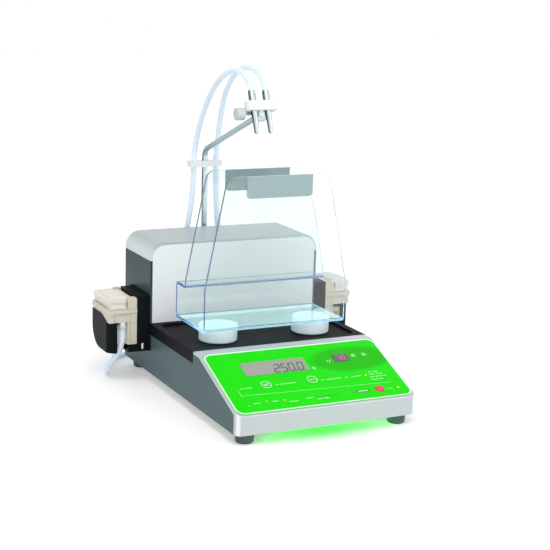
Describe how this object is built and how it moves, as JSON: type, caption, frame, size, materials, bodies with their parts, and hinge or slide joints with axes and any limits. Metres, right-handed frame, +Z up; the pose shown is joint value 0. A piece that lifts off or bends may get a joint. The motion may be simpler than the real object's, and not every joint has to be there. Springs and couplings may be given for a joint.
{
  "type": "gravimetric dilutor",
  "caption": "Bench dilutor: a scale with a sloped keypad deck, a clear bag holder, a bent mast with nozzles over it and roller tube pumps on the tower's sides.",
  "frame": {"origin": "on the table, in the middle of the box around the machine without its free tubes", "axes": "+X to the user's right, +Y from the keypad to the tower, +Z up"},
  "size_m": [0.3612, 0.515, 0.4155],
  "materials": {
    "side_blue_grey": "satin paint",
    "silver_cover": "satin silver",
    "keypad_green": "printed film",
    "lcd_grey": "clear window",
    "led_dark": "dark window",
    "board_green": "lacquered board",
    "tray_black": "fine texture",
    "hood_silver": "satin silver paint",
    "panel_white": "satin paint",
    "pan_steel": "zinc plated",
    "foot_rubber": "soft rubber",
    "screw_steel": "zinc plated",
    "cell_alu": "milled",
    "pad_white": "moulded",
    "acrylic_clear": "clear acrylic sheet",
    "clip_grey": "satin grey",
    "rod_steel": "polished stainless steel",
    "bracket_alu": "anodised",
    "clip_white": "turned white plastic",
    "nozzle_steel": "polished stainless steel",
    "tube_silicone": "translucent silicone",
    "connector_grey": "moulded",
    "inlet_black": "moulded",
    "switch_black": "moulded",
    "supply_metal": "plated cage",
    "light_green": "diffuser",
    "pump_beige": "moulded",
    "pump_black": "moulded",
    "roller_white": "moulded",
    "motor_grey": "plated can",
    "key_green": "moulded",
    "key_light": "moulded",
    "key_red": "moulded"
  },
  "bodies": {
    "machine": {"base_pan": "pan_steel", "case_screws": "screw_steel", "delivery_tube_left": "tube_silicone", "delivery_tube_right": "tube_silicone", "display_board": "board_green", "front_cover": "silver_cover", "hinge_pins": "screw_steel", "keypad_membrane": "keypad_green", "lcd_display": "lcd_grey", "led_display": "led_dark", "left_side_panel": "side_blue_grey", "light_bar": "light_green", "load_cell": "cell_alu", "mast": "rod_steel", "mast_bracket": "bracket_alu", "mount_pins": "screw_steel", "nozzle_block": "clip_white", "nozzles": "nozzle_steel", "power_inlet": "inlet_black", "power_supply": "supply_metal", "pump_body_left": "pump_beige", "pump_body_right": "pump_beige", "pump_guard_left": "pump_black", "pump_guard_right": "pump_black", "pump_motors": "motor_grey", "pump_mount_left": "pump_black", "pump_mount_right": "pump_black", "pump_tubes": "tube_silicone", "rear_panel": "side_blue_grey", "right_side_panel": "side_blue_grey", "rubber_feet": "foot_rubber", "supply_coil": "tube_silicone", "supply_connector": "connector_grey", "supply_tube": "tube_silicone", "tower_front_panel": "panel_white", "tower_hood": "hood_silver", "tray_cover": "tray_black", "tube_clamps": "pump_beige", "tube_clip": "clip_white"},
    "weighing_platform": {"weighing_beam": "cell_alu", "support_pads": "pad_white", "bag_holder": "acrylic_clear", "clip_plates": "clip_grey"},
    "tare_key": {"tare_key": "key_green"},
    "mode_key": {"mode_key": "key_green"},
    "down_key": {"down_key": "key_light"},
    "up_key": {"up_key": "key_light"},
    "start_key": {"start_key": "key_red"},
    "power_switch": {"power_switch": "switch_black"},
    "clamp_knob": {"clamp_knob": "clip_white"},
    "pump_lid_left": {"pump_lid_left": "pump_beige"},
    "pump_rotor_left": {"pump_rotor_left": "roller_white"},
    "roller_left_1": {"roller_left_1": "roller_white"},
    "roller_left_2": {"roller_left_2": "roller_white"},
    "roller_left_3": {"roller_left_3": "roller_white"},
    "pump_lid_right": {"pump_lid_right": "pump_beige"},
    "pump_rotor_right": {"pump_rotor_right": "roller_white"},
    "roller_right_1": {"roller_right_1": "roller_white"},
    "roller_right_2": {"roller_right_2": "roller_white"},
    "roller_right_3": {"roller_right_3": "roller_white"}
  },
  "joints": [
    {"name": "platform_sink", "type": "slide", "parent": "machine", "child": "weighing_platform", "axis": [0, 0, -1], "range_m": [0, 0.0003], "stiffness_N_per_m": 60000, "springref_m": -0.0002},
    {"name": "tare_key_press", "type": "slide", "parent": "machine", "child": "tare_key", "axis": [0, 0.3579, -0.9338], "range_m": [0, 0.0006], "stiffness_N_per_m": 1500, "springref_m": -0.0004},
    {"name": "mode_key_press", "type": "slide", "parent": "machine", "child": "mode_key", "axis": [0, 0.3579, -0.9338], "range_m": [0, 0.0006], "stiffness_N_per_m": 1500, "springref_m": -0.0004},
    {"name": "down_key_press", "type": "slide", "parent": "machine", "child": "down_key", "axis": [0, 0.3579, -0.9338], "range_m": [0, 0.0006], "stiffness_N_per_m": 1500, "springref_m": -0.0004},
    {"name": "up_key_press", "type": "slide", "parent": "machine", "child": "up_key", "axis": [0, 0.3579, -0.9338], "range_m": [0, 0.0006], "stiffness_N_per_m": 1500, "springref_m": -0.0004},
    {"name": "start_key_press", "type": "slide", "parent": "machine", "child": "start_key", "axis": [0, 0.3579, -0.9338], "range_m": [0, 0.0006], "stiffness_N_per_m": 1500, "springref_m": -0.0004},
    {"name": "power_switch_rock", "type": "hinge", "parent": "machine", "child": "power_switch", "pos_m": [0.072, 0.172, 0.04], "axis": [1, 0, 0], "range_deg": [-10, 10]},
    {"name": "clamp_knob_turn", "type": "hinge", "parent": "machine", "child": "clamp_knob", "pos_m": [-0.021, 0.01752, 0.35774], "axis": [1, 0, 0], "range_deg": [0, 360]},
    {"name": "pump_lid_left_hinge", "type": "hinge", "parent": "machine", "child": "pump_lid_left", "pos_m": [-0.1442, 0.112, 0.1094], "axis": [0, 1, 0], "range_deg": [0, 80]},
    {"name": "pump_rotor_left_spin", "type": "hinge", "parent": "machine", "child": "pump_rotor_left", "pos_m": [-0.156, 0.112, 0.074], "axis": [1, 0, 0], "continuous": true},
    {"name": "roller_left_1_spin", "type": "hinge", "parent": "pump_rotor_left", "child": "roller_left_1", "pos_m": [-0.156, 0.112, 0.0905], "axis": [1, 0, 0], "continuous": true},
    {"name": "roller_left_2_spin", "type": "hinge", "parent": "pump_rotor_left", "child": "roller_left_2", "pos_m": [-0.156, 0.09771, 0.06575], "axis": [1, 0, 0], "continuous": true},
    {"name": "roller_left_3_spin", "type": "hinge", "parent": "pump_rotor_left", "child": "roller_left_3", "pos_m": [-0.156, 0.12629, 0.06575], "axis": [1, 0, 0], "continuous": true},
    {"name": "pump_lid_right_hinge", "type": "hinge", "parent": "machine", "child": "pump_lid_right", "pos_m": [0.1442, 0.112, 0.1094], "axis": [0, -1, 0], "range_deg": [0, 80]},
    {"name": "pump_rotor_right_spin", "type": "hinge", "parent": "machine", "child": "pump_rotor_right", "pos_m": [0.156, 0.112, 0.074], "axis": [1, 0, 0], "continuous": true},
    {"name": "roller_right_1_spin", "type": "hinge", "parent": "pump_rotor_right", "child": "roller_right_1", "pos_m": [0.156, 0.112, 0.0905], "axis": [1, 0, 0], "continuous": true},
    {"name": "roller_right_2_spin", "type": "hinge", "parent": "pump_rotor_right", "child": "roller_right_2", "pos_m": [0.156, 0.09771, 0.06575], "axis": [1, 0, 0], "continuous": true},
    {"name": "roller_right_3_spin", "type": "hinge", "parent": "pump_rotor_right", "child": "roller_right_3", "pos_m": [0.156, 0.12629, 0.06575], "axis": [1, 0, 0], "continuous": true}
  ],
  "couplings": [
    {"joint": "roller_left_1_spin", "follows": "pump_rotor_left_spin", "ratio": -3.75},
    {"joint": "roller_left_2_spin", "follows": "pump_rotor_left_spin", "ratio": -3.75},
    {"joint": "roller_left_3_spin", "follows": "pump_rotor_left_spin", "ratio": -3.75},
    {"joint": "roller_right_1_spin", "follows": "pump_rotor_right_spin", "ratio": -3.75},
    {"joint": "roller_right_2_spin", "follows": "pump_rotor_right_spin", "ratio": -3.75},
    {"joint": "roller_right_3_spin", "follows": "pump_rotor_right_spin", "ratio": -3.75}
  ]
}
